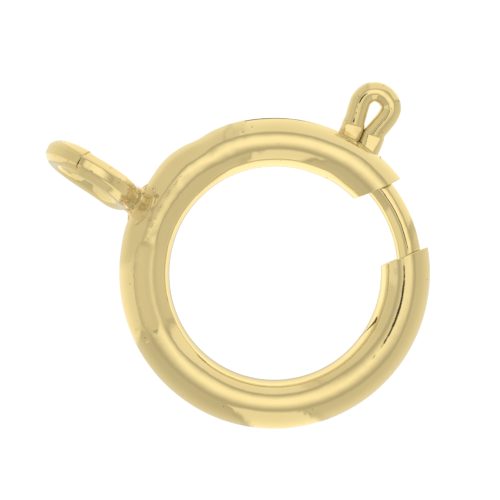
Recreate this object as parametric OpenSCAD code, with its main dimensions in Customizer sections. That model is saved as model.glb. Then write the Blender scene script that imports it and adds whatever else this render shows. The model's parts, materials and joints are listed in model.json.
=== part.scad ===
// Spring ring clasp: a hollow ring with a gap, closed by a sprung bolt that a
// thumb trigger draws back, and a loop soldered on at the back.
// Azimuths run counter-clockwise about the ring's axis. The loop's solder joint
// is at 180 degrees, so the X axis runs through the ring's eye and the loop's.

/* [Ring] */
// Outside diameter of the ring
ring_od = 12; // [10:0.5:16]
// Outside diameter of the tube that the ring is bent from
tube_d = 1.9; // [1.7:0.1:2.4]
// Wall thickness of the tube
tube_wall = 0.2; // [0.1:0.05:0.25]

/* [Gap] */
// Azimuth of the middle of the gap
gap_az = 50.3; // [45:1:55]
// Width of the gap between its two parallel faces
gap_w = 2.87; // [2:0.1:3.2]

/* [Bolt] */
// Diameter of the bolt's wire
bolt_d = 0.92; // [0.8:0.02:1]
// Clearance between the bolt and the outer side of the bore
bolt_side_clear = 0.1; // [0.08:0.01:0.14]
// Length of bolt that enters the far end of the tube
bolt_grip = 0.6; // [0.3:0.1:1]
// Turn that draws the bolt back, in degrees
bolt_travel = 34; // [20:1:36]
// Length of the bolt behind the trigger, its head left out
bolt_tail = 0.35; // [0.2:0.05:0.6]
// Length of the head that bears on the spring
bolt_head_l = 0.35; // [0.2:0.05:0.6]
// Clearance of the head in the bore, all round
bolt_head_clear = 0.05; // [0.03:0.01:0.06]
// Chamfer on the tip
bolt_chamfer = 0.1; // [0.05:0.05:0.2]

/* [Trigger] */
// Azimuth of the trigger while the clasp is shut
trigger_az = 84.4; // [82:1:88]
// Diameter of the trigger's wire
trigger_wire = 0.79; // [0.7:0.05:0.9]
// Height of the trigger above the tube
trigger_h = 2.46; // [2.1:0.1:3]
// Width across the bend
trigger_w = 2.01; // [1.9:0.1:2.4]
// Lean of the bend away from the gap
trigger_lean = 4; // [0:1:6]
// Width across the two flattened legs
foot_w = 1.74; // [1.6:0.02:1.8]
// Width of one leg where it is pinched flat
leg_flat_w = 0.9; // [0.85:0.05:1]
// Height of the flats above the tube
leg_flat_h = 0.5; // [0.3:0.1:0.8]
// Width of the slot in the tube
slot_w = 0.62; // [0.5:0.02:0.7]
// Clearance of the legs in the slot
slot_clear = 0.04; // [0.03:0.01:0.08]
// Clearance at the ends of the slot
slot_end_clear = 0.1; // [0.05:0.05:0.2]
// Width of the tang that passes through the bolt
tang_w = 0.9; // [0.6:0.1:1.1]
// Metal left on each side of the tang
bolt_cheek = 0.26; // [0.2:0.02:0.3]
// Clearance of the tang in the bolt
tang_clear = 0.03; // [0.02:0.01:0.05]

/* [Spring] */
// Diameter of the spring's wire
spring_wire = 0.2; // [0.15:0.01:0.22]
// Clearance of the coil in the bore, all round
spring_clear = 0.15; // [0.1:0.05:0.2]
// Distance from turn to turn while the clasp is shut
spring_pitch = 0.44; // [0.42:0.02:0.6]
// Gap left at each end of the coil
spring_end_clear = 0.03; // [0.02:0.01:0.05]
// Diameter of the pin that the spring bears on
stop_d = 0.7; // [0.5:0.1:1]

/* [Attached loop] */
// Outside diameter of the loop
loop_od = 4.1; // [3.4:0.1:4.6]
// Diameter of the loop's wire
loop_wire = 0.98; // [0.8:0.1:1.1]
// Depth by which the loop is let into the tube
loop_sink = 0.07; // [0.05:0.01:0.1]
// Turn of the loop about the X axis, away from square
loop_twist = 7; // [0:1:10]
// Lean of the loop to one side of the X axis, from the solder joint
loop_lean = 5.5; // [0:0.5:8]
// Place of the cut in the loop, in degrees up from its outermost point
seam_angle = 77; // [60:1:90]
// Width of the cut
seam_w = 0.06; // [0.04:0.01:0.1]
// Diameter of the solder at the tube
solder_d = 1.5; // [1.1:0.1:1.6]
// Diameter of the solder at its top
solder_top_d = 0.86; // [0.6:0.02:0.9]
// Height of the solder above the tube
solder_h = 0.7; // [0.4:0.1:0.8]

/* [Hidden] */
$fn = 96;

gold = [0.87, 0.77, 0.49];
steel = [0.62, 0.6, 0.56];

ring_r = (ring_od - tube_d) / 2;
bore_d = tube_d - 2 * tube_wall;

bolt_r = ring_r + (bore_d - bolt_d) / 2 - bolt_side_clear;
tip_az = gap_az - asin(gap_w / 2 / bolt_r) - arc_deg(bolt_grip, bolt_r);
tail_az = trigger_az + asin(foot_w / 2 / bolt_r) + arc_deg(bolt_tail, bolt_r);
head_end_az = tail_az + arc_deg(bolt_head_l, ring_r);

slot_in_r = ring_r + sqrt(pow(bore_d / 2, 2) - pow(slot_w / 2, 2));
slot_half_az = asin(foot_w / 2 / slot_in_r) + arc_deg(slot_end_clear, slot_in_r);
foot_t = slot_w - 2 * slot_clear;
foot_in_r = bolt_r + bolt_d / 2 + slot_clear;
foot_out_r = ring_od / 2 + leg_flat_h;
leg_y = (foot_w - leg_flat_w) / 2;
bend_r = (trigger_w - trigger_wire) / 2;
bend_x = ring_od / 2 + trigger_h - trigger_wire / 2 - bend_r;
tang_t = bolt_d - 2 * bolt_cheek;
leg_overlap = 0.1;

loop_r = (loop_od - loop_wire) / 2;
joint_x = ring_od / 2 - loop_sink;
loop_reach = joint_x + loop_od / 2 * cos(loop_lean);
solder_base_r = ring_r + sqrt(pow(tube_d / 2, 2) - pow(solder_d / 2, 2));

coil_r = bore_d / 2 - spring_clear - spring_wire / 2;
spring_from = head_end_az + arc_deg(spring_end_clear + spring_wire / 2, ring_r);
spring_to = 180 - asin((stop_d / 2 + spring_end_clear + spring_wire / 2) / ring_r);
spring_turns = floor(arc_len(spring_to - spring_from, ring_r) / spring_pitch);
wire_sides = 6;
steps_a_turn = 14;

// The loop is deeper than the tube, so the clasp lies tilted: the loop and the
// far side of the ring touch the table together.
rest_tilt = asin((loop_r * cos(loop_twist) + loop_wire / 2 - tube_d / 2)
    / (ring_r + loop_reach));

function arc_deg(length, radius) = length / radius * 180 / PI;
function arc_len(angle, radius) = angle * PI / 180 * radius;

module rest_pose() {
    rotate([0, rest_tilt, 0]) children();
}

// Part of a ring of round wire or tube, lying in the XY plane
module wire_arc(radius, d, from, to) {
    rotate([0, 0, from])
        rotate_extrude(angle = to - from)
            translate([radius, 0]) circle(d = d);
}

module gap_cut() {
    rotate([0, 0, gap_az])
        translate([0, -gap_w / 2, -tube_d])
            cube([ring_od, gap_w, 2 * tube_d]);
}

// The slot that the trigger slides in, along the outside of the tube
module slot_cut() {
    rotate([0, 0, trigger_az - slot_half_az])
        rotate_extrude(angle = 2 * slot_half_az + bolt_travel)
            translate([ring_r, -slot_w / 2]) square([tube_d, slot_w]);
}

module loop_ring() {
    translate([-joint_x, 0, 0])
        rotate([0, 0, -loop_lean])
            translate([-loop_od / 2, 0, 0])
                rotate([90 - loop_twist, 0, 0])
                    loop_wire_ring();
}

// An open ring, whose cut ends meet at the top
module loop_wire_ring() {
    difference() {
        rotate_extrude() translate([loop_r, 0]) circle(d = loop_wire);
        rotate([0, 0, 180 - seam_angle])
            translate([0, -seam_w / 2, -loop_wire])
                cube([loop_od, seam_w, 2 * loop_wire]);
    }
}

module solder() {
    top_x = ring_od / 2 + solder_h;
    translate([-top_x, 0, 0])
        rotate([0, 90, 0])
            cylinder(d1 = solder_top_d, d2 = solder_d, h = top_x - solder_base_r + tube_wall / 2);
}

// The end of the loop's solder joint stands in the bore and stops the spring
module spring_stop() {
    translate([-ring_od / 2, 0, 0])
        rotate([0, 90, 0])
            cylinder(d = stop_d, h = tube_d - tube_wall / 2);
}

module ring() {
    color(gold) rest_pose() {
        difference() {
            union() {
                rotate_extrude() translate([ring_r, 0]) circle(d = tube_d);
                loop_ring();
                solder();
            }
            rotate_extrude() translate([ring_r, 0]) circle(d = bore_d);
            gap_cut();
            slot_cut();
        }
        spring_stop();
    }
}

module bolt() {
    color(gold) rest_pose()
        difference() {
            union() {
                wire_arc(bolt_r, bolt_d, tip_az, tail_az);
                wire_arc(ring_r, bore_d - 2 * bolt_head_clear, tail_az, head_end_az);
                rotate([0, 0, tip_az])
                    translate([bolt_r, 0, 0])
                        rotate([90, 0, 0])
                            cylinder(d1 = bolt_d, d2 = bolt_d - 2 * bolt_chamfer, h = bolt_chamfer);
            }
            rotate([0, 0, trigger_az])
                tang(tang_clear, tube_d);
        }
}

// The tang lies along X, from inside the bolt outwards
module tang(clear, inward) {
    in_r = bolt_r - inward / 2;
    translate([in_r, -tang_w / 2 - clear, -tang_t / 2 - clear])
        cube([foot_in_r - in_r + slot_clear, tang_w + 2 * clear, tang_t + 2 * clear]);
}

// The wire's bend, and two straight legs that run on from it to the flats
module bent_wire() {
    foot_x = foot_out_r - bend_x;
    foot_gap = norm([foot_x, leg_y]);
    leg_l = sqrt(foot_gap * foot_gap - bend_r * bend_r) + leg_overlap;
    bend_end = atan2(leg_y, foot_x) - acos(bend_r / foot_gap);
    translate([foot_out_r, 0, 0])
        rotate([0, 0, trigger_lean])
            translate([-foot_x, 0, 0]) {
                wire_arc(bend_r, trigger_wire, -bend_end, bend_end);
                for (side = [-1, 1])
                    rotate([0, 0, side * bend_end])
                        translate([bend_r, 0, 0])
                            rotate([-90 * side, 0, 0])
                                cylinder(d = trigger_wire, h = leg_l);
            }
}

// Both legs pinched flat, to pass through the slot
module foot() {
    translate([foot_in_r, 0, 0])
        rotate([90, 0, 90])
            linear_extrude(foot_out_r - foot_in_r)
                for (side = [-1, 1])
                    intersection() {
                        translate([side * leg_y, 0]) circle(d = leg_flat_w);
                        square([2 * foot_w, foot_t], center = true);
                    }
}

module trigger() {
    color(gold) rest_pose()
        rotate([0, 0, trigger_az]) {
            bent_wire();
            foot();
            tang(0, bolt_d);
        }
}

// Coil wound along the ring's centreline, with a closed turn at each end
function coil_share(turn) =
    let (closed = spring_wire / arc_len(spring_to - spring_from, ring_r),
         open = (1 - 2 * closed) / (spring_turns - 2))
    turn < 1 ? turn * closed
    : turn > spring_turns - 1 ? 1 - (spring_turns - turn) * closed
    : closed + (turn - 1) * open;

function coil_point(turn, side) =
    let (az = spring_from + (spring_to - spring_from) * coil_share(turn),
         around = 360 * side / wire_sides,
         out = coil_r + spring_wire / 2 * cos(around),
         along = spring_wire / 2 * sin(around),
         radius = ring_r + out * cos(360 * turn))
    [radius * cos(az) - along * sin(az),
     radius * sin(az) + along * cos(az),
     out * sin(360 * turn)];

module spring() {
    rings = spring_turns * steps_a_turn;
    points = [
        for (i = [0:rings], side = [0:wire_sides - 1])
            coil_point(i / steps_a_turn, side)
    ];
    walls = [
        for (i = [0:rings - 1], side = [0:wire_sides - 1])
            let (a = i * wire_sides + side,
                 b = i * wire_sides + (side + 1) % wire_sides)
            [a, b, b + wire_sides, a + wire_sides]
    ];
    first_cap = [for (side = [wire_sides - 1:-1:0]) side];
    last_cap = [for (side = [0:wire_sides - 1]) rings * wire_sides + side];
    color(steel) rest_pose()
        polyhedron(points, concat(walls, [first_cap, last_cap]), convexity = 10);
}

ring();
bolt();
trigger();
spring();
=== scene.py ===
# Spring ring clasp in pale gold plate, dressed over its solid model
import json
import math

import bpy
import numpy as np
from mathutils import Matrix, Vector, noise

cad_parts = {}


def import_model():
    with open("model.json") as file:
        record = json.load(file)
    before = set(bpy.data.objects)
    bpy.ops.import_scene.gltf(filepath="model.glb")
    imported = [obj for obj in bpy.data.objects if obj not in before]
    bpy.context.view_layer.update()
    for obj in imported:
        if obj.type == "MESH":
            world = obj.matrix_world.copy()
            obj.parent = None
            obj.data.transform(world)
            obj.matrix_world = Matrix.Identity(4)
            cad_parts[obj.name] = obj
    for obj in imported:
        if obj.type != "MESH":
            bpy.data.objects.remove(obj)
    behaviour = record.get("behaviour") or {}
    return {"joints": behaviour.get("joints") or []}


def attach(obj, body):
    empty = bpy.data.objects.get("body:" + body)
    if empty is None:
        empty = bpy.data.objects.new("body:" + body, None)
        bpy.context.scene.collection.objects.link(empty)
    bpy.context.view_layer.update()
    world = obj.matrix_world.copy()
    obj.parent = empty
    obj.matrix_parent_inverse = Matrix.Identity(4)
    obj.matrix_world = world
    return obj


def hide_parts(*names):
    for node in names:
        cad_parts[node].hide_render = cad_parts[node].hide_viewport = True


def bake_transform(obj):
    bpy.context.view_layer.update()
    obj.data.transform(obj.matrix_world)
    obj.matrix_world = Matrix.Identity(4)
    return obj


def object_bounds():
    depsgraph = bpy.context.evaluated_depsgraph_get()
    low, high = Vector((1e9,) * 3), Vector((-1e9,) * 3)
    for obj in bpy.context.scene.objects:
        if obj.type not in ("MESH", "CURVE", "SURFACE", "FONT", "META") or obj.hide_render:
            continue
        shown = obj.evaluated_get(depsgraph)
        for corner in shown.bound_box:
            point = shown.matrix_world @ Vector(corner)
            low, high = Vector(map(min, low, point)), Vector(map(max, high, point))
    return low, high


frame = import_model()
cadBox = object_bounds()

mm = 0.001
clasp = {               # sizes in mm, azimuths in degrees anticlockwise from +X
    "ringRadius": 5.05,     # middle of the eye to the middle of the tube
    "tubeRadius": 0.95,
    "boreRadius": 0.75,
    "photoRight": 27.0,     # azimuth that the photo has on its right
}
drawAxis = Vector(frame["joints"][0]["axis"])
lean = math.atan2(drawAxis.x, drawAxis.z)   # the loop tips the ring
lying = Matrix.Rotation(lean, 4, "Y")
print("clasp: frame loaded, ring leans", round(math.degrees(lean), 2))


# Shapes

def softStep(low, high, value):
    t = min(1.0, max(0.0, (value - low) / (high - low)))
    return t * t * (3 - 2 * t)


def ramp(rows, value):  # smooth line through rows of (place, amount)
    for (start, before), (end, after) in zip(rows, rows[1:]):
        if value <= end:
            return before + (after - before) * softStep(start, end, value)
    return rows[-1][1]


def bell(value, middle, half):
    return math.exp(-((value - middle) / half) ** 2)


def cosSin(angle):      # of degrees
    a = math.radians(angle)
    return math.cos(a), math.sin(a)


def facing(angle, toward):  # how squarely one direction faces the other, 1 to -1
    return math.cos(math.radians(angle - toward))


def rowsOf(columns, rows):  # a table as one dictionary a row
    return [dict(zip(columns.split(), row)) for row in rows]


def lump(x, y, z, size, seed):  # soft random relief, about -1 to 1
    return noise.noise(Vector((x, y, z)) / size + Vector((seed * 7.3, seed * 3.1, seed * 5.7)))


def uneven(rows, spot):     # rows are (size, seed, height), mm
    return sum(height * lump(*spot, size, seed) for size, seed, height in rows)


pressing = {
    "least": 0.3,           # a flat bites where the section faces it at least this squarely
    "blend": 0.02,          # its edges are rounded off over this, mm
    "dip": 0.005,
}


def pressed(radius, angle, flats):  # a round section with flats on it, degrees
    for flatAngle, depth in flats:
        across = facing(angle, flatAngle)
        if across > pressing["least"] and depth > 0:
            limit = (radius - depth) / across
            blend = max(0.0, 1 - abs(radius - limit) / pressing["blend"])
            radius = min(radius, limit) - blend * blend * pressing["dip"]
    return radius


def signedTurn(angle):  # the same direction between -180 and 180 degrees
    return (angle + 180) % 360 - 180


def tubeFaces(count, sides):    # skin of a run of rings, both ends closed
    faces = []
    for i in range(count - 1):
        for j in range(sides):
            k = (j + 1) % sides
            faces.append((i * sides + j, i * sides + k, (i + 1) * sides + k, (i + 1) * sides + j))
    faces.append(tuple(reversed(range(sides))))
    faces.append(tuple((count - 1) * sides + j for j in range(sides)))
    return faces


def newObject(name, data):
    thing = bpy.data.objects.new(name, data)
    bpy.context.scene.collection.objects.link(thing)
    return thing


def finishMesh(name, verts, faces, drawn, smoothAngle=35):
    # Drawn says how far along the metal was drawn, and where round it
    mesh = bpy.data.meshes.new(name)
    mesh.from_pydata([tuple(lying @ Vector(v) * mm) for v in verts], [], faces)
    mesh.validate()
    mesh.shade_smooth()
    mesh.set_sharp_from_angle(angle=math.radians(smoothAngle))
    layer = mesh.attributes.new("drawn", "FLOAT_VECTOR", "POINT")
    layer.data.foreach_set("vector", np.array(drawn, np.float32).ravel())
    return newObject(name, mesh)


def record(piece, name, values):    # one number a vertex, for the materials to read
    layer = piece.data.attributes.new(name, "FLOAT", "POINT")
    layer.data.foreach_set("value", np.array(values, np.float32))


def clouds(verts, amount, size, seed):  # soft patches, one number a vertex
    return [amount * max(0.0, lump(*v, size, seed)) for v in verts]


def specks(verts, amount, least, size, seed):   # and patches with plain ground between them
    return [amount * softStep(least, 0.5, lump(*v, size, seed)) for v in verts]


def roundEdges(piece, width, segments=2, sharpest=48):
    bevel = piece.modifiers.new("broken edges", "BEVEL")
    bevel.width = width * mm
    bevel.segments = segments
    bevel.limit_method = "ANGLE"
    bevel.angle_limit = math.radians(sharpest)
    bevel.harden_normals = True


cutFade = 8             # stations over which a slanted cut fades out


def wire(name, path, normal, section, sides, cutTurn=(0, 0)):
    # Section(share along, angle) gives a point of the wire's outline, mm
    count = len(path)
    verts = []
    drawn = []
    length = 0.0
    for i, point in enumerate(path):
        tangent = (path[min(i + 1, count - 1)] - path[max(i - 1, 0)]).normalized()
        outward = tangent.cross(normal).normalized()
        if i:
            length += (point - path[i - 1]).length
        ends = zip(cutTurn, (i, count - 1 - i))
        slant = sum(turn * max(0.0, 1 - away / cutFade) for turn, away in ends)
        for j in range(sides):
            angle = 360 * j / sides
            x, y = section(i / (count - 1), angle)
            slip = math.tan(math.radians(slant)) * y
            verts.append(point + outward * x + normal * y + tangent * slip)
            drawn.append((length, *cosSin(angle)))
    return finishMesh(name, verts, tubeFaces(count, sides), drawn), verts


def aroundRing(azimuth, radius, height=0.0):
    c, s = cosSin(azimuth)
    return Vector((radius * c, radius * s, height))


# The tube

tube = {
    "gapAt": 50.3, "gapWidth": 2.87,
    "slotFrom": 74.67, "slotTo": 128.13, "slotWidth": 0.62,
    "slotSlices": 84, "slotSides": 8, "sides": 72, "sliceLength": 0.058,
    "edge": 0.022,
    "cutTwist": 0.55,       # the lower cut leans back under, degrees
    "cutTurn": 0.4,         # and is turned a little in the plane of the ring
    "cutPivot": 1.5,        # about this many tube radii out
    "under": 0.003,         # the skin lies this much inside the solid's
    "squared": (6, 8),      # degrees over which the sections turn square to the cuts
    "lumps": [(0.22, 1, 0.0016), (0.45, 2, 0.0016), (1.5, 3, 0.003)],
    "kneaded": (118, 132, 186, 197),    # comes in and goes out between these azimuths
    "wrinkles": [(0.36, 4, 0.0075), (0.75, 5, 0.0045)],
    "swellFade": 2,
    "raggedMarks": [(0.12, 6, 0.35)],
    "markFade": (1.2, 0.5),     # of a mark's rise, in reaches from its middle
    "paintFade": (1.3, 0.6),    # and of its paint
    "milkyFade": (0.7, 0.93),   # of a flat's milkiness, by how squarely the skin faces it
    "bore": {"cloudy": 0.6, "tarnishAndShade": 0.25, "pitted": 0.0, "dulled": 0.9},
}
swells = rowsOf("at half facing rise", [    # azimuth, reach, which way round the tube they face, mm
    (131, 9, 0, 0.018), (146.5, 6, 0, -0.06), (160, 11, 0, 0.1), (190, 8, 0, 0.025),
    (206, 62, 180, 0.042)])
tubeFlats = rowsOf("from to fade angle depth milky", [  # where the tube is pressed or filed flat
    (148, 193, 12, 52, 0.05, 0),
    (150, 192, 12, 122, 0.045, 0),
    (194, 231, 5, 84, 0.052, 0.7),
    (190, 252, 14, 130, 0.028, 0),
    (86, 142, 8, 150, 0.03, 0),
])
matted = rowsOf("from to fade angle reach amount", [    # where the skin was scoured dull
    (193, 232, 6, 88, (35, 18), 0.65), (164, 196, 6, 83, (15, 8), 0.42)])
spread = [                  # how far the tube's middle stands off its circle: azimuth, mm
    (27, 0.0), (45, 0.02), (66, 0.075), (80, 0.06), (98, 0.01), (125, 0.0), (395, 0.0),
]
marks = rowsOf("at round along across rise tarnish pits milky", [   # azimuth, angle round the tube, mm
    (179.6, 57, 0.24, 0.2, 0.03, 0.75, 0.3),
    (174.5, 61, 0.12, 0.1, -0.02, 0.3, 1),
    (183.8, 71, 0.12, 0.09, -0.015, 0.5, 1),
    (232.8, 54, 0.2, 0.15, -0.012, 0.1, 1),
    (229.5, 39, 0.16, 0.12, -0.008, 0, 0.8),
    (132.7, 50, 0.34, 0.16, -0.006, 0, 0.7),
    (126.5, 40, 0.1, 0.1, -0.008, 0, 0.8),
    (207, 54, 0.42, 0.1, -0.004, 0, 0.6),
    (277.8, 68, 0.36, 0.12, 0.006, 0.05, 0.7),
    (309.5, 62, 0.3, 0.16, 0.005, 0, 0.5),
    (388, 119, 0.3, 0.16, 0.0, 0, 0, 1),
    (187, 86, 0.34, 0.15, 0.014, 0, 0),
    (191, 78, 0.34, 0.14, 0.022, 0, 0),
])


def markReach(mark, azimuth, turn):     # how far off a mark's middle, in its own reaches
    along = math.radians(azimuth - mark["at"]) * clasp["ringRadius"] / mark["along"]
    across = math.radians(turn - mark["round"]) * clasp["tubeRadius"] / mark["across"]
    return math.hypot(along, across)


def relief(azimuth, turn, spot):
    # Height of the tube's skin over a true round section, in mm
    rise = uneven(tube["lumps"], spot) - tube["under"]
    start, full, fading, end = tube["kneaded"]
    kneaded = softStep(start, full, azimuth) * softStep(end, fading, azimuth)
    rise += kneaded * uneven(tube["wrinkles"], spot)
    for swell in swells:
        away = (azimuth - swell["at"]) / swell["half"]
        squarely = max(0.0, facing(turn, swell["facing"]))
        rise += swell["rise"] * math.exp(-away * away * tube["swellFade"]) * squarely
    ragged = uneven(tube["raggedMarks"], spot)
    for mark in marks:
        rise += mark["rise"] * softStep(*tube["markFade"], markReach(mark, azimuth, turn) + ragged)
    return rise


def flatShare(flat, azimuth):   # how far a flat has come in at an azimuth
    half = flat["fade"] / 2
    inward = softStep(flat["from"] - half, flat["from"] + half, azimuth)
    return inward * softStep(flat["to"] + half, flat["to"] - half, azimuth)


def skinPaint(azimuth, turn):   # how milky, brown, pitted and dull the outside is
    cloud = brownLevel = pit = dull = 0.0
    for flat in tubeFlats:
        milky = flat["milky"] * flatShare(flat, azimuth)
        cloud = max(cloud, milky * softStep(*tube["milkyFade"], facing(turn, flat["angle"])))
    for patch in matted:
        edge, full = [facing(reach, 0) for reach in patch["reach"]]
        amount = patch["amount"] * flatShare(patch, azimuth)
        dull = max(dull, amount * softStep(edge, full, facing(turn, patch["angle"])))
    for mark in marks:
        inside = softStep(*tube["paintFade"], markReach(mark, azimuth, turn))
        brownLevel = max(brownLevel, inside * mark["tarnish"])
        pit = max(pit, inside * mark["pits"])
        cloud = max(cloud, inside * mark.get("milky", 0))
    return {"cloudy": cloud, "tarnishAndShade": brownLevel, "pitted": pit, "dulled": dull}


def makeTube():
    half = math.degrees(math.asin(tube["gapWidth"] / 2 / clasp["ringRadius"]))
    start = tube["gapAt"] + half
    end = tube["gapAt"] - half + 360
    step = math.degrees(tube["sliceLength"] / clasp["ringRadius"])
    slotFrom, slotTo = tube["slotFrom"], tube["slotTo"]
    front = np.linspace(start, slotFrom, round((slotFrom - start) / step) + 1)
    slot = np.linspace(slotFrom, slotTo, tube["slotSlices"] + 1)
    rear = np.linspace(slotTo, end, round((end - slotTo) / step) + 1)
    stations = np.concatenate([front, slot[1:], rear[1:]])
    slotFirst = len(front) - 1
    slotLast = slotFirst + tube["slotSlices"]
    n = tube["slotSides"]
    rest = tube["sides"] - n
    shares = [j / n for j in range(n)] + [1 + j / rest for j in range(rest)]

    verts = []
    drawn = []
    paint = {name: [] for name in tube["bore"]}
    squareFirst, squareLast = tube["squared"]
    for outer in (True, False):
        skin = clasp["tubeRadius" if outer else "boreRadius"]
        slotHalf = math.degrees(math.asin(tube["slotWidth"] / 2 / skin))
        turns = np.interp(shares, (0, 1, 2), (-slotHalf, slotHalf, 360 - slotHalf))
        for azimuth in stations:
            middle = clasp["ringRadius"] + ramp(spread, azimuth)
            lead = softStep(start + squareFirst, start, azimuth)
            lag = softStep(end - squareLast, end, azimuth)
            for turn in turns:
                signed = signedTurn(turn)
                c, s = cosSin(turn)
                radius = skin
                out = middle + radius * c
                true = math.degrees(math.asin(tube["gapWidth"] / 2 / out))
                slant = tube["cutTwist"] * s - tube["cutTurn"] * (c - tube["cutPivot"])
                place = azimuth + (lead - lag) * (true - half) + lag * slant
                if outer:
                    radius += relief(azimuth, signed, aroundRing(place, out, radius * s))
                    radius = pressed(radius, turn, [
                        (flat["angle"], flat["depth"] * flatShare(flat, azimuth)) for flat in tubeFlats])
                verts.append(aroundRing(place, middle + radius * c, radius * s))
                drawn.append((math.radians(azimuth) * clasp["ringRadius"], c, s))
                here = skinPaint(azimuth, signed) if outer else tube["bore"]
                for name, amounts in paint.items():
                    amounts.append(here[name])
    sides = tube["sides"]
    inner = len(stations) * sides
    last = inner - sides
    faces = []
    for i in range(len(stations) - 1):
        for j in range(sides):
            if slotFirst <= i < slotLast and j < n:
                continue
            k = (j + 1) % sides
            a, b, c, d = i * sides + j, i * sides + k, (i + 1) * sides + k, (i + 1) * sides + j
            faces.append((d, c, b, a))
            faces.append((inner + a, inner + b, inner + c, inner + d))

    def wall(a, b):     # joins an edge of the outside to the same edge of the bore
        faces.append((a, b, inner + b, inner + a))

    for j in range(sides):
        k = (j + 1) % sides
        wall(j, k)
        wall(last + k, last + j)
    for a in range(slotFirst * sides, slotLast * sides, sides):
        wall(a + sides, a)
        wall(a + n, a + sides + n)
    for j in range(n):
        a, b = slotFirst * sides + j, slotLast * sides + j
        wall(a, a + 1)
        wall(b + 1, b)
    piece = finishMesh("ringTube", verts, faces, drawn, 40)
    for name, amounts in paint.items():
        record(piece, name, amounts)
    roundEdges(piece, tube["edge"])
    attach(piece, "ring_body")
    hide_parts("ring")
    return piece


# A dark streak on the inner flank: a painted reflection, the dark edge of a reflection laid over the skin
# as a thin sliver

reflectionEdge = {
    "slices": 70, "columns": 7,
    "proud": 0.005,         # mm over the tube's skin
    "thinner": 0.9,         # share lost towards its edges
    "sunk": 0.006,
}
paintedReflectionEdge = [            # azimuth, angle round the tube, half width in mm
    (348.7, 178, 0.006), (352, 168, 0.012), (355.5, 160, 0.028), (359, 152, 0.055),
    (361.3, 147.5, 0.072), (363.2, 147.5, 0.05), (364.2, 148.5, 0.01),
]


def makeReflectionEdge():
    verts = []
    drawn = []
    columns = reflectionEdge["columns"]
    places, turns, halves = zip(*paintedReflectionEdge)
    for i in range(reflectionEdge["slices"]):
        azimuth = places[0] + (places[-1] - places[0]) * i / (reflectionEdge["slices"] - 1)
        turn = math.radians(np.interp(azimuth, places, turns))
        half = float(np.interp(azimuth, places, halves)) / clasp["tubeRadius"]
        for j in range(2 * columns):
            across = -1 + 2 * j / (columns - 1)
            rise = reflectionEdge["proud"] * (1 - reflectionEdge["thinner"] * across * across)
            if j >= columns:
                across = 1 - 2 * (j - columns) / (columns - 1)
                rise = -reflectionEdge["sunk"]
            skin = clasp["tubeRadius"] - tube["under"] + rise
            c, s = math.cos(turn + half * across), math.sin(turn + half * across)
            verts.append(aroundRing(azimuth, clasp["ringRadius"] + skin * c, skin * s))
            drawn.append((math.radians(azimuth) * clasp["ringRadius"], c, s))
    piece = finishMesh("paintedReflectionEdge", verts, tubeFaces(reflectionEdge["slices"], 2 * columns), drawn)
    # painted reflection edge: the whole sliver is drawn dark
    record(piece, "paintedShade", [1.0 for v in verts])
    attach(piece, "ring_body")
    return piece


# The open loop, standing on edge and soldered to the tube

loop = {
    "jointX": -5.93,
    "radius": 1.56, "wireRadius": 0.49,
    "lean": 5.5, "twist": 7,
    "cutAt": 114.5,         # degrees from the solder, up over the top
    "cutWidth": 0.014,
    "slip": 0.03,           # the two ends miss each other sideways
    "slipFade": (60, 75),   # over so many degrees from each
    "slices": 300, "sides": 56,
    "edge": 0.026,
    "tuck": 0.1,            # the lower strand is sprung sideways next to the solder
    "tuckAt": (322, 26),
    "cutTurn": (6, -8),     # how far the two end faces slant, degrees
    "nearEnd": (0.74, 0.8),     # shares along the wire where its filed ends begin
    "farEnd": (0.3, 0.1),
    "lumps": [(0.3, 21, 0.004), (0.14, 22, 0.0025)],
    "burr": 0.012,          # slight, beside the cut
    "burrAt": (0.985, 0.012),
    "flats": [(0, 12, 0.028, 0.045), (52, 0, 0.05, 0.03), (-48, 0, 0.035, 0.02)],
    "longFlat": (150, 0.02),
}
loopLean = Matrix.Rotation(math.radians(-loop["lean"]), 3, "Z")
loopTwist = Matrix.Rotation(math.radians(90 - loop["twist"]), 3, "X")
loopAlong = loopLean @ Vector((1, 0, 0))
loopUp = loopLean @ loopTwist @ Vector((0, 1, 0))
loopSide = loopLean @ loopTwist @ Vector((0, 0, 1))
loopReach = loop["radius"] + loop["wireRadius"]
loopCentre = Vector((loop["jointX"], 0, 0)) - loopAlong * loopReach
heatStains = rowsOf("at size amount", [     # brown heat marks near the solder: along, across and up, mm
    ((-6.56, 0.24, 1.15), 0.36, 0.75), ((-6.5, -0.22, 0.9), 0.24, 1.0), ((-6.3, 0.0, -1.0), 0.5, 0.7)])
heatFade = (1.25, 0.45)     # in their own sizes from the middle
heatRagged = [(0.16, 11, 0.35)]


def heatStain(point):
    brownLevel = 0.0
    for spot in heatStains:
        away = (Vector(point) - Vector(spot["at"])).length / spot["size"] + uneven(heatRagged, point)
        brownLevel = max(brownLevel, spot["amount"] * softStep(*heatFade, away))
    return brownLevel


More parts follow.
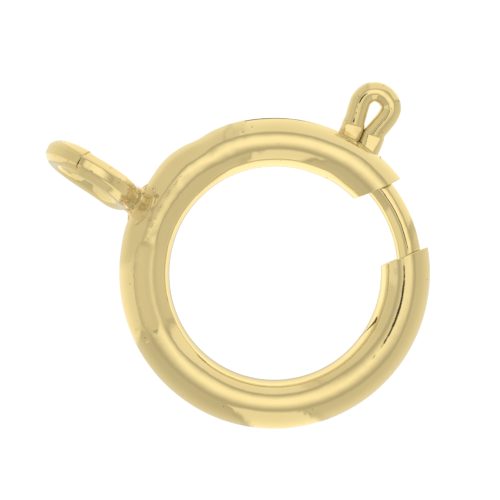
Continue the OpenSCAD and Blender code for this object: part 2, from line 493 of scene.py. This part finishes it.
def makeLoop():
    half = math.degrees(loop["cutWidth"] / 2 / loop["radius"])
    first = loop["cutAt"] + half        # over the outermost point, underneath and up to the solder
    after, before = loop["slipFade"]
    path = []
    for angle in np.linspace(first, first + 360 - 2 * half, loop["slices"]):
        turned = angle - loop["cutAt"]
        slip = loop["slip"] * (softStep(360 - before, 360, turned) - softStep(after, 0, turned))
        slip += loop["tuck"] * bell(angle, *loop["tuckAt"])
        c, s = cosSin(angle)
        path.append(loopCentre + loopAlong * (loop["radius"] * c) + loopUp * (loop["radius"] * s)
                    + loopSide * float(slip))

    def section(share, angle):
        c, s = cosSin(angle)
        near = softStep(*loop["nearEnd"], share)    # the end at the solder
        far = softStep(*loop["farEnd"], share)      # the end over the outermost point
        flats = [(at + turn * far, nearDepth * near + farDepth * far)
                 for at, turn, nearDepth, farDepth in loop["flats"]] + [loop["longFlat"]]
        spot = path[round(share * (len(path) - 1))] + Vector((0, c * 0.5, s * 0.5))
        radius = loop["wireRadius"] + uneven(loop["lumps"], spot)
        radius = pressed(radius + loop["burr"] * bell(share, *loop["burrAt"]), signedTurn(angle), flats)
        return radius * c, radius * s

    piece, verts = wire("loopWire", path, loopSide, section, loop["sides"], loop["cutTurn"])
    record(piece, "cloudy", clouds(verts, 0.25, 0.5, 24))
    record(piece, "tarnishAndShade", [heatStain(v) for v in verts])
    record(piece, "pitted", specks(verts, 0.35, 0.1, 0.45, 25))
    roundEdges(piece, loop["edge"])
    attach(piece, "ring_body")
    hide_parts("ring")
    return piece


# The solder between them, drawn up into the corners

solder = {
    "heart": (-6.28, 0.02, 0.0),
    "reach": 1.22,
    "shrink": 0.004,        # where there is no fillet it stays just under both skins
    "cornerTop": 0.3,
    "cornerSide": 0.55,
    "cornerWide": 0.5,      # the wider corner is reached this far to the side, mm
    "ragged": [(0.3, 31, 0.2)],
    "inWall": 0.05,         # it stops this far outside the bore
    "rough": [(0.1, 32, 0.003)],
    "fineness": 6,
    "from": 0.05,           # the skin is looked for in strides outwards from the heart
    "stride": 0.03,
    "halvings": 8,
}


def tubeDepth(p):
    return math.hypot(math.hypot(p.x, p.y) - clasp["ringRadius"], p.z) - clasp["tubeRadius"]


def loopDepth(p):
    d = p - loopCentre
    side = d.dot(loopSide)
    out = math.hypot(d.dot(loopAlong), d.dot(loopUp))
    return math.hypot(out - loop["radius"], side) - loop["wireRadius"]


def solderDepth(p):
    a = tubeDepth(p) + solder["shrink"]
    b = loopDepth(p) + solder["shrink"]
    sideways = min(1.0, abs(p.y) / solder["cornerWide"])
    corner = solder["cornerTop"] + (solder["cornerSide"] - solder["cornerTop"]) * sideways * sideways
    corner *= 1 + uneven(solder["ragged"], p)
    merging = max(corner - abs(a - b), 0.0) / corner
    joined = min(a, b) - merging * merging * corner / 4
    bore = tubeDepth(p) + clasp["tubeRadius"] - clasp["boreRadius"]
    return max(joined, solder["inWall"] - bore)


def makeSolder():
    rays, faces = unitBall(solder["fineness"])
    heart = Vector(solder["heart"])
    stride = solder["stride"]
    verts = []
    for ray in rays:
        low = solder["from"]
        while low < solder["reach"] and solderDepth(heart + ray * low) < 0:
            low += stride
        high = min(low, solder["reach"])
        low = high - stride
        for _ in range(solder["halvings"]):
            middle = (low + high) / 2
            if solderDepth(heart + ray * middle) < 0:
                low = middle
            else:
                high = middle
        point = heart + ray * low
        verts.append(point + ray * uneven(solder["rough"], point))
    piece = finishMesh("solderNeck", verts, faces, verts, 80)
    record(piece, "cloudy", [0.35 + cloud for cloud in clouds(verts, 0.4, 0.2, 33)])
    record(piece, "tarnishAndShade", np.maximum([heatStain(v) for v in verts], clouds(verts, 0.25, 0.3, 34)))
    record(piece, "pitted", [0.6 for v in verts])
    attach(piece, "ring_body")
    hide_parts("ring")
    return piece


def unitBall(fineness):
    bpy.ops.mesh.primitive_ico_sphere_add(subdivisions=fineness, radius=1)
    ball = bpy.context.object
    rays = [v.co.normalized() for v in ball.data.vertices]
    faces = [tuple(p.vertices) for p in ball.data.polygons]
    bpy.data.objects.remove(ball)
    return rays, faces


ringAxis = Vector((0, 0, 1))
stop = {                    # the pin in the bore that the spring bears on
    "from": 4.25, "length": 1.7, "slices": 12, "radius": 0.35,
    "rounded": 0.2,         # share of its length
    "blunt": 0.05,
    "sides": 28,
}


def makeStop():
    slices = stop["slices"]
    path = [Vector((-stop["from"] - stop["length"] * i / slices, 0, 0)) for i in range(slices + 1)]

    def section(share, angle):
        rounded = max(0.0, (stop["rounded"] - share) / stop["rounded"])
        radius = stop["radius"] * math.sqrt(max(stop["blunt"], 1 - rounded ** 2))
        c, s = cosSin(angle)
        return radius * c, radius * s

    piece = wire("springStop", path, ringAxis, section, stop["sides"])[0]
    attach(piece, "ring_body")
    return piece


# The bolt, a bent wire that slides round in the bore

bolt = {
    "tip": 27.9, "tail": 97.8, "headEnd": 101.76,
    "radius": 5.212, "bow": 0.01, "bowAt": (52.0, 14),
    "wireRadius": 0.47,
    "lumps": [(0.35, 41, 0.003), (0.15, 42, 0.0015)],
    "flats": [(38, 0.012), (-150, 0.01), (118, 0.014)],
    "headRadius": 0.7,
    "headShift": -0.14,     # the head is centred in the bore
    "shoulder": 0.006,      # share of the wire over which it grows
    "headEdge": 0.05, "headEdgeFrom": 0.985, "chamfer": 0.1,
    "slices": 300, "sides": 48,
}
boltRise = [                # the wire isn't quite level: azimuth and height, mm
    (27.9, 0.122), (38, 0.112), (52, 0.0), (66, -0.114), (72, -0.12), (96, 0.0),
]


def makeBolt():
    middle, half = bolt["bowAt"]
    places, heights = zip(*boltRise)
    path = []
    for azimuth in np.linspace(bolt["tip"], bolt["headEnd"], bolt["slices"]):
        bow = bolt["bow"] * max(-1.0, 1 - ((azimuth - middle) / half) ** 2)
        height = float(np.interp(azimuth, places, heights))
        path.append(aroundRing(azimuth, bolt["radius"] + bow, height))
    length = bolt["headEnd"] - bolt["tip"]
    headShare = (bolt["tail"] - bolt["tip"]) / length

    def section(share, angle):
        c, s = cosSin(angle)
        spot = path[round(share * (len(path) - 1))] + Vector((c, s, cosSin(2 * angle)[1])) * 0.4
        radius = bolt["wireRadius"] + uneven(bolt["lumps"], spot)
        radius = pressed(radius, signedTurn(angle), bolt["flats"])
        radius -= max(0.0, bolt["chamfer"] - math.radians(share * length) * bolt["radius"])
        grown = softStep(headShare, headShare + bolt["shoulder"], share)
        radius += (bolt["headRadius"] - bolt["wireRadius"]) * grown
        radius -= bolt["headEdge"] * softStep(bolt["headEdgeFrom"], 1.0, share)
        return radius * c + bolt["headShift"] * grown, radius * s

    piece, verts = wire("boltWire", path, ringAxis, section, bolt["sides"])
    record(piece, "cloudy", clouds(verts, 0.3, 0.6, 44))
    record(piece, "tarnishAndShade", clouds(verts, 0.15, 0.5, 45))
    record(piece, "pitted", specks(verts, 0.4, 0.15, 0.5, 46))
    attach(piece, "bolt_body")
    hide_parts("bolt")
    return piece


# The trigger, a wire bent into a teardrop, both feet pinched flat

trigger = {
    "at": 84.4,
    "wireRadius": 0.395,
    "footWide": 0.445,      # half the width of a pinched leg
    "footThin": (0.33, 0.285),  # half its thickness, first and second leg
    "shift": 0.06,          # the wire stands this far anticlockwise, mm
    "footShift": 0.09,      # and its feet this far
    "footFade": (7.2, 6.6),
    "footTaper": 0.1,       # it thins outwards, mm a mm
    "taperFrom": 6.2,
    "flatTop": (6.5, 6.43),     # where the flats of the two legs end
    "footSlant": 0.17,      # low down the legs slant clockwise, mm a mm
    "slantBelow": 6.55,
    "legs": 0.2,            # share of the wire from its middle to the legs
    "climb": 0.063,         # the head rides up a little, mm a mm
    "climbFrom": 5.9,
    "lumps": [(0.32, 51, 0.004), (0.15, 52, 0.002)],
    "pinchFade": (0.035, -0.005),
    "wideFade": (0.3, -0.1),
    "headFlats": [(10, 0.02, 0.5, 0.16), (54, 0.03, 0.5, 0.16), (84, 0.03, 0.46, 0.09)],
    "longFlats": [(-62, 0.012), (122, 0.01)],
    "slices": 340, "sides": 56,
}
triggerBend = [             # middle of the wire: out from the eye's middle, and sideways, mm
    (5.76, -0.45), (6.05, -0.45), (6.35, -0.445), (6.7, -0.425), (7.05, -0.445), (7.4, -0.475),
    (7.7, -0.43), (7.92, -0.26), (8.04, 0.06), (7.99, 0.4), (7.77, 0.65), (7.43, 0.735),
    (7.05, 0.65), (6.7, 0.515), (6.35, 0.44), (6.05, 0.43), (5.76, 0.43),
]
triggerPatches = {                  # sideways and outwards over which each place on the trigger fades, mm. Painted shade in the crease between the legs and low on one foot; patchy brown round the inside of the teardrop
    "crease": ((0.06, 0.0), (6.75, 6.4)),
    "foot": ((-0.1, 0.1), (6.13, 6.05)),
    "inside": ((0.34, 0.1), (8.2, 7.2)),
    "insideAt": 0.1,
    "paintedShade": 0.5,
    "footBrown": 0.8,
    "insideBrown": 0.5,
}
triggerTurn = Matrix.Rotation(math.radians(trigger["at"]), 3, "Z")
smoothing = {"steps": 24, "rounds": 6}


def curveThrough(points, count):    # evenly spaced places on a smooth curve through the points
    line = [Vector((p[0], p[1], 0)) for p in points]
    ends = [line[0] * 2 - line[1]] + line + [line[-1] * 2 - line[-2]]
    dense = []
    for a, b, c, d in zip(ends, ends[1:], ends[2:], ends[3:]):
        for k in range(smoothing["steps"]):
            t = k / smoothing["steps"]
            dense.append(0.5 * (b * 2 + (c - a) * t + (a * 2 - b * 5 + c * 4 - d) * t * t
                                + (b * 3 - a - c * 3 + d) * t * t * t))
    dense.append(line[-1])
    for _ in range(smoothing["rounds"]):
        between = [(p + q * 2 + r) / 4 for p, q, r in zip(dense, dense[1:], dense[2:])]
        dense = [dense[0]] + between + [dense[-1]]
    travelled = np.cumsum([0] + [(q - p).length for p, q in zip(dense, dense[1:])])
    wanted = np.linspace(0, travelled[-1], count)
    x, y = [np.interp(wanted, travelled, [p[axis] for p in dense]) for axis in (0, 1)]
    return [Vector((a, b, 0)) for a, b in zip(x, y)]


def slanted(x):         # how far a leg has slanted off
    return trigger["footSlant"] * max(0.0, trigger["slantBelow"] - x)


def patchShare(name, sideways, outwards):
    side, out = triggerPatches[name]
    return softStep(*side, sideways) * softStep(*out, outwards)


def makeTrigger():
    flat = curveThrough(triggerBend, trigger["slices"])
    for p in flat:
        p.y -= slanted(p.x)
        foot = softStep(*trigger["footFade"], p.x)
        p.y += trigger["shift"] + (trigger["footShift"] - trigger["shift"]) * foot
        p.z = trigger["climb"] * (p.x - trigger["climbFrom"])
    path = [triggerTurn @ p for p in flat]

    def section(share, angle):
        c, s = cosSin(angle)
        here = flat[round(share * (len(flat) - 1))]
        leg = 0 if share < 0.5 else 1
        end = trigger["flatTop"][leg]
        pinch = widened = 0.0
        if abs(share - 0.5) > trigger["legs"]:
            pinch = softStep(*trigger["pinchFade"], here.x - end)
            widened = softStep(*trigger["wideFade"], here.x - end)
        spot = Vector((here.x + c * 0.3, here.y, s * 0.4))
        flats = [(at, depth * bell(share, *where)) for at, depth, *where in trigger["headFlats"]]
        radius = trigger["wireRadius"] + uneven(trigger["lumps"], spot)
        radius = pressed(radius, signedTurn(angle), flats + trigger["longFlats"])
        x = radius * c * (1 + widened * (trigger["footWide"] / trigger["wireRadius"] - 1))
        thin = trigger["footThin"][leg] + trigger["footTaper"] * (trigger["taperFrom"] - here.x)
        limit = trigger["wireRadius"] + (thin - trigger["wireRadius"]) * pinch
        return x, max(-limit, min(limit, radius * s))

    piece, verts = wire("triggerWire", path, ringAxis, section, trigger["sides"])
    brownLevel = []
    paintedShade = []
    for v in verts:
        local = triggerTurn.transposed() @ v
        local.y += slanted(local.x) - trigger["footShift"]
        # painted shade: the crease where the legs meet is drawn dark and brown
        crease = patchShare("crease", abs(local.y), local.x)
        paintedShade.append(triggerPatches["paintedShade"] * crease)
        # painted shade: brown low on one foot, where it meets the tube
        foot = triggerPatches["footBrown"] * patchShare("foot", local.y, local.x)
        inside = triggerPatches["insideBrown"] * patchShare("inside", abs(local.y - triggerPatches["insideAt"]), local.x)
        patchy = max(0.0, 0.5 + lump(*v, 0.3, 54))
        brownLevel.append(min(1.0, max(crease, foot, inside * patchy)))
    record(piece, "tarnishAndShade", brownLevel)
    record(piece, "paintedShade", paintedShade)
    record(piece, "cloudy", clouds(verts, 0.3, 0.5, 55))
    record(piece, "pitted", specks(verts, 0.5, 0.1, 0.4, 56))
    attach(piece, "bolt_body")
    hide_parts("trigger")
    return piece


tang = {                    # the flat end of the trigger that passes through the bolt
    "deep": 4.8, "length": 0.96, "slices": 6,
    "half": (0.45, 0.2),    # half its width and thickness
    "squareness": 8,
    "sides": 32,
}


def makeTang():
    slices = tang["slices"]
    step = tang["length"] / slices
    path = [triggerTurn @ Vector((tang["deep"] + step * i, 0, 0)) for i in range(slices + 1)]

    def section(share, angle):
        c, s = cosSin(angle)
        wide, thick = tang["half"]
        power = tang["squareness"]
        scale = 1 / (abs(c / wide) ** power + abs(s / thick) ** power) ** (1 / power)
        return scale * c, scale * s

    piece = wire("triggerTang", path, ringAxis, section, tang["sides"])[0]
    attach(piece, "bolt_body")
    return piece


# The coil spring in the bore, behind the bolt's head

spring = {
    "from": 103.25, "to": 174.5, "coilRadius": 0.5, "wireRadius": 0.1,
    "turns": 14, "stepsATurn": 26, "sides": 8, "drawnStep": 0.12,
}


def makeSpring():
    count = spring["turns"] * spring["stepsATurn"]
    bend = spring["to"] - spring["from"]
    closed = 2 * spring["wireRadius"] / (math.radians(bend) * clasp["ringRadius"])
    opened = (1 - 2 * closed) / (spring["turns"] - 2)
    path = []
    for i in range(count + 1):
        turn = i / spring["stepsATurn"]
        if turn < 1:
            share = turn * closed
        elif turn > spring["turns"] - 1:
            share = 1 - (spring["turns"] - turn) * closed
        else:
            share = closed + (turn - 1) * opened
        azimuth = spring["from"] + bend * share
        c, s = cosSin(360 * turn)
        coil = spring["coilRadius"]
        path.append(aroundRing(azimuth, clasp["ringRadius"] + coil * c, coil * s))
    verts = []
    drawn = []
    sides = spring["sides"]
    for i, point in enumerate(path):
        tangent = (path[min(i + 1, count)] - path[max(i - 1, 0)]).normalized()
        middle = aroundRing(math.degrees(math.atan2(point.y, point.x)), clasp["ringRadius"])
        outward = (point - middle).normalized()
        outward = (outward - tangent * outward.dot(tangent)).normalized()
        side = tangent.cross(outward)
        for j in range(sides):
            c, s = cosSin(360 * j / sides)
            verts.append(point + (outward * c + side * s) * spring["wireRadius"])
            drawn.append((i * spring["drawnStep"], c, s))
    piece = finishMesh("coilSpring", verts, tubeFaces(count + 1, sides), drawn, 50)
    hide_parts("spring")
    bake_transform(piece)
    return piece


# Shader groups that the finishes share

def join(tree, socket, value):  # value is a number, a colour or another node's output
    if isinstance(value, (int, float, tuple)):
        socket.default_value = value
    else:
        tree.links.new(value, socket)


def feed(tree, inputs, **values):
    for label, value in values.items():
        join(tree, inputs[label.replace("_", " ")], value)


def newGroup(name, outputs, **inputs):
    # None makes a vector input and a tuple a colour. The rest are numbers
    group = bpy.data.node_groups.new(name, "ShaderNodeTree")
    for label, value in inputs.items():
        kind = "Vector" if value is None else "Color" if isinstance(value, tuple) else "Float"
        socket = group.interface.new_socket(label, in_out="INPUT", socket_type="NodeSocket" + kind)
        if value is not None:
            socket.default_value = value
    for label in outputs.split():
        kind = "Color" if label == "Color" else "Float"
        group.interface.new_socket(label, in_out="OUTPUT", socket_type="NodeSocket" + kind)
    return group, group.nodes.new("NodeGroupInput").outputs, group.nodes.new("NodeGroupOutput").inputs


def add(tree, kind):
    return tree.nodes.new("ShaderNode" + kind)


def sums(tree, operation, *values, clamp=False):
    node = add(tree, "Math")
    node.operation = operation
    node.use_clamp = clamp
    for socket, value in zip(node.inputs, values):
        join(tree, socket, value)
    return node.outputs[0]


def times(tree, first, second):
    return sums(tree, "MULTIPLY", first, second)


def total(tree, start, *terms):     # the start and products of pairs, added up
    for value, factor in terms:
        start = sums(tree, "ADD", start, times(tree, value, factor))
    return start


def faded(tree, light, share, target):  # light, gone over to the target by its share
    return total(tree, light, (share, sums(tree, "SUBTRACT", target, light)))


def ranged(tree, value, low, high, toLow=0.0, toHigh=1.0):
    node = add(tree, "MapRange")
    node.interpolation_type = "SMOOTHSTEP"
    feed(tree, node.inputs, Value=value, From_Min=low, From_Max=high, To_Min=toLow, To_Max=toHigh)
    return node.outputs["Result"]


def mixed(tree, share, first, second):
    node = add(tree, "Mix")
    node.data_type = "RGBA"
    feed(tree, node.inputs, Factor=share, A=first, B=second)
    return node.outputs["Result"]


def speckle(tree, vector, scale, detail=3.0, roughness=0.55):
    node = add(tree, "TexNoise")
    feed(tree, node.inputs, Vector=vector, Scale=scale, Detail=detail, Roughness=roughness)
    return node.outputs["Fac"]


def cloudGroup():
    # Milky patches where the plating is matte
    group, into, out = newGroup("milkyPlating", "Mask Height",
                                Vector=None, Scale=2500.0, Amount=0.2, Painted=0.0)
    broad = speckle(group, into["Vector"], into["Scale"], 4, 0.6)
    fine = speckle(group, into["Vector"], times(group, into["Scale"], 2.4), 2)
    level = total(group, into["Amount"], (into["Painted"], 0.8))
    edge = sums(group, "SUBTRACT", 0.86, times(group, level, 0.5))
    mask = ranged(group, broad, edge, sums(group, "ADD", edge, 0.12))
    broken = times(group, mask, ranged(group, fine, 0.3, 0.6, 0.55, 1.0))
    feed(group, out, Mask=broken, Height=times(group, fine, broken))
    return group


def pitGroup():
    # Pinholes in the plating
    group, into, out = newGroup("pinholes", "Mask Depth",
                                Vector=None, Scale=5000.0, Amount=0.1, Painted=0.0)
    cells = add(group, "TexVoronoi")
    feed(group, cells.inputs, Vector=into["Vector"], Scale=into["Scale"])
    hole = ranged(group, cells.outputs["Distance"], 0.16, 0.3, 1.0, 0.0)
    split = add(group, "SeparateColor")
    group.links.new(cells.outputs["Color"], split.inputs[0])
    level = total(group, into["Amount"], (into["Painted"], 0.5))
    mask = times(group, hole, sums(group, "LESS_THAN", split.outputs[0], level))
    feed(group, out, Mask=mask, Depth=times(group, mask, -1.0))
    return group


def drawnGroup():
    # Fine lines along the metal from the draw plate
    group, into, out = newGroup("drawLines", "Lines", Drawn=None, Fineness=7.0)
    squeeze = add(group, "VectorMath")
    squeeze.operation = "MULTIPLY"
    squeeze.inputs[1].default_value = (0.12, 1.0, 1.0)
    group.links.new(into["Drawn"], squeeze.inputs[0])
    feed(group, out, Lines=speckle(group, squeeze.outputs[0], into["Fineness"], 4, 0.65))
    return group


def tarnishGroup():
    # Brown film of heat and age over the gold, which also lays the painted brown shade of the trigger's
    # crease and foot
    group, into, out = newGroup("tarnishFilm", "Color Mask", Vector=None, Gold=(0.95, 0.77, 0.36, 1),
                                Tarnish=(0.76, 0.5, 0.17, 1), Painted=0.0, Everywhere=0.05)
    patchy = speckle(group, into["Vector"], 2600.0, 4, 0.6)
    tarnishAndShade = times(group, into["Painted"], ranged(group, patchy, 0.3, 0.6, 0.35, 1.0))
    broad = speckle(group, into["Vector"], 420.0, 2)
    film = times(group, into["Everywhere"], ranged(group, broad, 0.35, 0.7))
    mask = sums(group, "ADD", tarnishAndShade, film, clamp=True)
    feed(group, out, Color=mixed(group, mask, into["Gold"], into["Tarnish"]), Mask=mask)
    return group


groups = {"milkyPlating": cloudGroup(), "pinholes": pitGroup(), "drawLines": drawnGroup(),
          "tarnishFilm": tarnishGroup()}


def useGroup(tree, name, **values):
    node = add(tree, "Group")
    node.node_tree = groups[name]
    feed(tree, node.inputs, **values)
    return node.outputs


def painted(tree, name, output="Fac"):
    node = add(tree, "Attribute")
    node.attribute_name = name
    return node.outputs[output]


def newMaterial(name, **values):
    material = bpy.data.materials.new(name)
    material.use_nodes = True
    tree = material.node_tree
    skin = tree.nodes["Principled BSDF"]
    feed(tree, skin.inputs, **values)
    return material, tree, skin, add(tree, "TexCoord").outputs["Object"]


goldFinishes = rowsOf("name gold rough cloud pits lines film peel cloudRough", [
    ("tubePlate", (0.955, 0.775, 0.365, 1), 0.075, 0.03, 0.003, 0.25, 0.12, 0.6, 0.3),
    ("wirePlate", (0.955, 0.77, 0.355, 1), 0.055, 0.06, 0.002, 0.45, 0.12, 0.8, 0.24),
    ("solderPlate", (0.93, 0.74, 0.34, 1), 0.14, 0.2, 0.03, 0.0, 0.3, 0.9, 0.34),
])


def goldPlate(look):
    material, tree, skin, where = newMaterial(look["name"], Metallic=1.0)
    milky = useGroup(tree, "milkyPlating", Vector=where, Scale=2300.0, Amount=look["cloud"],
                     Painted=painted(tree, "cloudy"))
    pits = useGroup(tree, "pinholes", Vector=where, Scale=9000.0, Amount=look["pits"],
                    Painted=painted(tree, "pitted"))
    film = useGroup(tree, "tarnishFilm", Vector=where, Gold=look["gold"], Everywhere=look["film"],
                    Painted=painted(tree, "tarnishAndShade"))
    lines = useGroup(tree, "drawLines", Drawn=painted(tree, "drawn", "Vector"), Fineness=9.0)["Lines"]
    paintedShade = painted(tree, "paintedShade")
    colour = mixed(tree, times(tree, milky["Mask"], 0.35), film["Color"], (0.93, 0.82, 0.5, 1))
    colour = mixed(tree, times(tree, pits["Mask"], 0.75), colour, (0.22, 0.15, 0.05, 1))
    # painted shade: dark brown where the trigger's crease and the dark reflection edge on the tube are
    # painted
    colour = mixed(tree, paintedShade, colour, (0.15, 0.105, 0.032, 1))
    # Gold seen in gold keeps less of its colour
    again = add(tree, "LightPath").outputs["Is Glossy Ray"]
    colour = mixed(tree, times(tree, again, 0.85), colour, (0.8, 0.77, 0.64, 1))
    rough = total(tree, look["rough"], (milky["Mask"], look["cloudRough"]), (film["Mask"], 0.12),
                  (paintedShade, 0.3), (painted(tree, "dulled"), 0.42), (lines, 0.03 * look["lines"]))
    peel = times(tree, speckle(tree, where, 5200.0, 2), 0.35 * look["peel"])
    height = total(tree, peel, (lines, 0.3 * look["lines"]), (milky["Height"], 0.9), (pits["Depth"], 3.0))
    bump = add(tree, "Bump")
    feed(tree, bump.inputs, Strength=1.0, Distance=0.0000045, Height=height)
    feed(tree, skin.inputs, Base_Color=colour, Roughness=rough, Normal=bump.outputs["Normal"])
    return material


def springSteel():
    material, tree, skin, where = newMaterial("springSteel", Metallic=1.0)
    lines = useGroup(tree, "drawLines", Drawn=painted(tree, "drawn", "Vector"), Fineness=6.0)["Lines"]
    film = useGroup(tree, "tarnishFilm", Vector=where, Gold=(0.56, 0.54, 0.5, 1),
                    Tarnish=(0.3, 0.2, 0.12, 1), Everywhere=0.5)
    feed(tree, skin.inputs, Base_Color=film["Color"], Roughness=ranged(tree, lines, 0.2, 0.8, 0.22, 0.38))
    return material


finishes = {look["name"]: goldPlate(look) for look in goldFinishes}
finishes["springSteel"] = springSteel()
print("clasp: finishes mixed")

dressed = {
    "tubePlate": [makeTube(), makeReflectionEdge()],
    "wirePlate": [makeLoop(), makeBolt(), makeTrigger(), makeTang(), makeStop()],
    "solderPlate": [makeSolder()],
    "springSteel": [makeSpring()],
}
for finish, pieces in dressed.items():
    for piece in pieces:
        piece.data.materials.clear()
        piece.data.materials.append(finishes[finish])
        print("clasp:", piece.name, "made,", len(piece.data.polygons), "faces")


# Studio: a pale table, a soft box overhead and the walls of a light tent

studio = {
    "boxCentre": (0.19, 0.22),  # overhead box, as tangents of the angle from straight up
    "boxHalf": (0.08, 0.08),    # its evenly bright middle
    "boxTurn": -3,              # against the photo's right side
    "boxLight": 1.06,
    "rimLight": 0.5,            # dark surround of the box
    "rimPeak": 0.69, "rimEnd": 1.08,
    "lens": 5.4,                # the camera's own dark lens, degrees across half
    "lensAt": (-0.1157, -0.0021),   # and where it stands, tangents like the box
    "lensSoft": (0.5, -0.5),
    "lensLight": 0.04,
    "wallSoft": 2.0, "plainWall": 0.7,
    "lowLight": 0.16,           # what the walls gain from overhead to the floor
    "lowFade": (0.6, -0.95, -0.2, 1.0),
    "horizon": 0.02,            # what lies lower is taken to be this far up
    "backLight": 1.0,
}
tentWalls = rowsOf("from to light", [   # bearings in the photo, anticlockwise from its right
    (22, 98, 0.87), (98, 150, 0.74), (178, 208, 0.84), (208, 263, 0.6), (263, 288, 0.9),
    (288, 382, 0.66)])
wallSeams = rowsOf("at half light", [   # dark joins between the walls
    (19, 3.5, -0.13), (107, 3.0, -0.12), (261, 3.0, -0.1), (290, 3.5, -0.07)])


def lightTent():
    world = bpy.data.worlds.new("light tent")
    bpy.context.scene.world = world
    world.use_nodes = True
    tree = world.node_tree
    split = add(tree, "SeparateXYZ")
    tree.links.new(add(tree, "TexCoord").outputs["Generated"], split.inputs[0])
    x, y, z = split.outputs
    bearing = times(tree, sums(tree, "ARCTAN2", y, x), 180 / math.pi)
    bearing = sums(tree, "SUBTRACT", bearing, clasp["photoRight"])
    patches = []
    for wall in tentWalls:
        half = (wall["to"] - wall["from"]) / 2
        patches.append((wall["from"] + half, half - studio["wallSoft"], half + studio["wallSoft"],
                        wall["light"] - studio["plainWall"]))
    patches += [(seam["at"], 0.0, seam["half"], seam["light"]) for seam in wallSeams]
    light = studio["plainWall"]
    for at, inner, outer, step in patches:
        away = sums(tree, "WRAP", sums(tree, "SUBTRACT", bearing, at), 180.0, -180.0)
        inside = ranged(tree, sums(tree, "ABSOLUTE", away), inner, outer, 1.0, 0.0)
        light = total(tree, light, (inside, step))
    light = total(tree, light, (ranged(tree, z, *studio["lowFade"]), studio["lowLight"]))
    up = sums(tree, "MAXIMUM", z, studio["horizon"])
    c, s = cosSin(studio["boxTurn"] + clasp["photoRight"])
    right = total(tree, times(tree, x, c), (y, s))
    ahead = total(tree, times(tree, y, c), (x, -s))
    overs = []
    for along, centre, half in zip((right, ahead), studio["boxCentre"], studio["boxHalf"]):
        off = sums(tree, "ABSOLUTE", sums(tree, "SUBTRACT", sums(tree, "DIVIDE", along, up), centre))
        overs.append(sums(tree, "SUBTRACT", off, half))
    over = sums(tree, "MAXIMUM", *overs)
    peak = studio["rimPeak"]
    light = faded(tree, light, ranged(tree, over, peak, studio["rimEnd"], 1.0, 0.0), studio["rimLight"])
    light = faded(tree, light, ranged(tree, over, 0.0, peak, 1.0, 0.0), studio["boxLight"])
    c, s = cosSin(clasp["photoRight"])
    right, ahead = studio["lensAt"]
    lens = Vector((right * c - ahead * s, right * s + ahead * c, 1)).normalized()
    towards = total(tree, times(tree, x, lens.x), (y, lens.y), (z, lens.z))
    edge, full = [facing(studio["lens"] + soft, 0) for soft in studio["lensSoft"]]
    light = faded(tree, light, ranged(tree, towards, edge, full), studio["lensLight"])
    seen = add(tree, "LightPath").outputs["Is Camera Ray"]
    light = faded(tree, light, seen, studio["backLight"])
    feed(tree, tree.nodes["Background"].inputs, Color=(1, 1, 1, 1), Strength=light)


table = {
    "size": 0.6, "glow": 0.95, "white": 0.15,
    "mirrored": (0.88, 1.25),   # how bright reflections see it in the eye, from side to side
    "mirroredAlong": 72,        # azimuth in which it brightens
    "mirroredReach": 0.0035,
    "underTube": (0.0024, 0.0038, 0.7),     # where the tube shades the table, and how much is left
    "mirroredTo": (0.0040, 0.0052),     # and from where outwards they see the tent's walls instead
}


def blended(tree, share, first, second):    # two shaders, the second coming in by its share
    node = add(tree, "MixShader")
    for socket, value in zip(node.inputs, (share, first.outputs[0], second.outputs[0])):
        tree.links.new(value, socket)
    return node


def makeTable():
    half = table["size"] / 2
    level = cadBox[0].z
    mesh = bpy.data.meshes.new("table")
    corners = (-half, -half, level), (half, -half, level), (half, half, level), (-half, half, level)
    mesh.from_pydata(corners, [], [(0, 1, 2, 3)])
    top = newObject("table", mesh)
    white = table["white"]
    material, tree, skin, where = newMaterial(
        "lightTable", Base_Color=(white, white, white, 1), Roughness=0.9, Specular_IOR_Level=0.0,
        Emission_Color=(1, 1, 1, 1), Emission_Strength=table["glow"])
    split = add(tree, "SeparateXYZ")
    tree.links.new(where, split.inputs[0])
    x, y = split.outputs[:2]
    away = sums(tree, "SQRT", sums(tree, "ADD", sums(tree, "POWER", x, 2.0), sums(tree, "POWER", y, 2.0)))
    c, s = cosSin(table["mirroredAlong"])
    along = total(tree, times(tree, x, c), (y, s))
    reach = table["mirroredReach"]
    low, high, left = table["underTube"]
    shade = ranged(tree, away, low, high, 1.0, left)
    bright = add(tree, "Emission")
    strength = ranged(tree, along, -reach, reach, *table["mirrored"])
    feed(tree, bright.inputs, Strength=times(tree, strength, shade))
    clear = add(tree, "BsdfTransparent")
    mirrored = blended(tree, ranged(tree, away, *table["mirroredTo"]), bright, clear)
    again = add(tree, "LightPath").outputs["Is Glossy Ray"]
    whole = blended(tree, again, skin, mirrored)
    tree.links.new(whole.outputs[0], tree.nodes["Material Output"].inputs["Surface"])
    mesh.materials.append(material)


camera = {
    "height": 0.3, "sensor": 36.0,
    "frameWidth": 0.019234,         # what the picture spans at the middle of the ring
    "offset": (-0.000951, 0.000893),    # its middle from the eye's middle, right and up
}


def makeCamera():
    data = bpy.data.cameras.new("camera")
    data.sensor_width = camera["sensor"]
    data.lens = camera["sensor"] * camera["height"] / camera["frameWidth"]
    data.clip_start = 0.01
    data.clip_end = 20
    eye = newObject("camera", data)
    c, s = cosSin(clasp["photoRight"])
    right, up = camera["offset"]
    eye.location = Vector((c, s, 0)) * right + Vector((-s, c, 0)) * up + Vector((0, 0, camera["height"]))
    eye.rotation_euler = (0, 0, math.radians(clasp["photoRight"]))
    bpy.context.scene.camera = eye


lightTent()
makeTable()
makeCamera()
bpy.context.scene.view_settings.view_transform = "Standard"
print("clasp: table, light tent and camera set")
